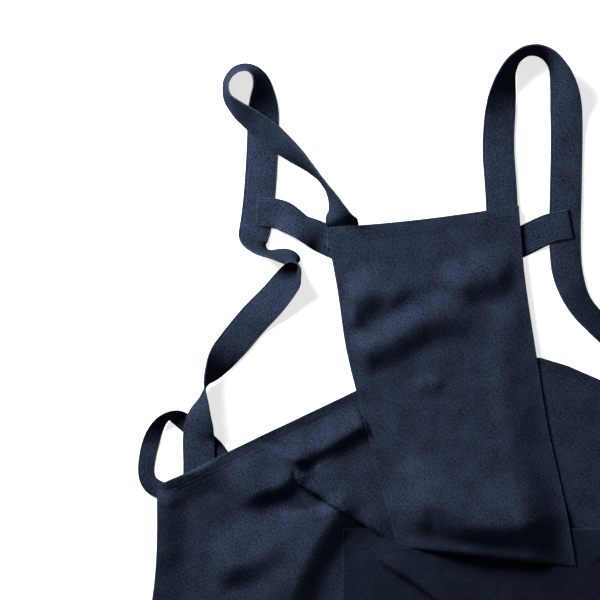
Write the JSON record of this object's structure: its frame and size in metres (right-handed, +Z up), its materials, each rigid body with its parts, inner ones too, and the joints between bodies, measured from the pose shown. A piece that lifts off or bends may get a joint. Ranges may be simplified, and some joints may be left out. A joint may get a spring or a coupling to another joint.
{
  "type": "smock apron",
  "caption": "Navy twill smock apron laid flat: a bib drawn down over folding back wings, looped shoulder straps joined by a back crosspiece, waist ties and a wide front pocket.",
  "frame": {"origin": "on the table plane under the fold at the waist, on the skirt's centre line", "axes": "+X across the apron to its right as seen from above, +Y from the hem up towards the shoulder straps, +Z up from the table"},
  "size_m": [0.9905, 1.1595, 0.0421],
  "materials": {
    "twill": "matte washed cotton twill with a slubby weave",
    "strap_cloth": "matte folded cotton twill, edge stitched",
    "facing_cloth": "matte cotton twill, wrong side",
    "thread": "satin polyester sewing thread"
  },
  "bodies": {
    "skirt": {"skirt_panel": "twill", "left_armhole_facing": "facing_cloth", "right_armhole_facing": "facing_cloth", "waist_tuck": "twill", "kangaroo_pocket": "twill", "pocket_thread": "thread", "pocket_divider_thread": "thread"},
    "bib": {"bib_panel": "twill", "bib_top_facing": "facing_cloth", "bib_left_facing": "facing_cloth", "bib_right_facing": "facing_cloth", "bib_hem_thread": "thread", "left_strap_front_run": "strap_cloth", "right_strap_front_run": "strap_cloth", "crosspiece": "strap_cloth", "crosspiece_left_thread": "thread", "crosspiece_right_thread": "thread"},
    "left_wing": {"left_wing_panel": "twill", "left_wing_facing": "facing_cloth", "left_wing_thread": "thread", "left_strap_back_run": "strap_cloth"},
    "right_wing": {"right_wing_panel": "twill", "right_wing_facing": "facing_cloth", "right_wing_thread": "thread", "right_strap_back_run": "strap_cloth"},
    "left_tie": {"left_waist_tie": "strap_cloth"},
    "right_tie": {"right_waist_tie": "strap_cloth"}
  },
  "joints": [
    {"name": "bib_fold", "type": "hinge", "parent": "skirt", "child": "bib", "pos_m": [-0.0165, -0.008, 0.006], "axis": [0.9942, -0.108, 0], "range_deg": [0, 55]},
    {"name": "left_wing_fold", "type": "hinge", "parent": "skirt", "child": "left_wing", "pos_m": [-0.25, 0, 0.0028], "axis": [0, 1, 0], "range_deg": [0, 80]},
    {"name": "right_wing_fold", "type": "hinge", "parent": "skirt", "child": "right_wing", "pos_m": [0.25, 0, 0.0028], "axis": [0, -1, 0], "range_deg": [0, 80]},
    {"name": "left_tie_swing", "type": "hinge", "parent": "left_wing", "child": "left_tie", "pos_m": [-0.424, 0.072, 0.001], "axis": [0, 0, 1], "range_deg": [0, 20]},
    {"name": "right_tie_swing", "type": "hinge", "parent": "right_wing", "child": "right_tie", "pos_m": [0.424, 0.072, 0.001], "axis": [0, 0, -1], "range_deg": [0, 30]}
  ]
}
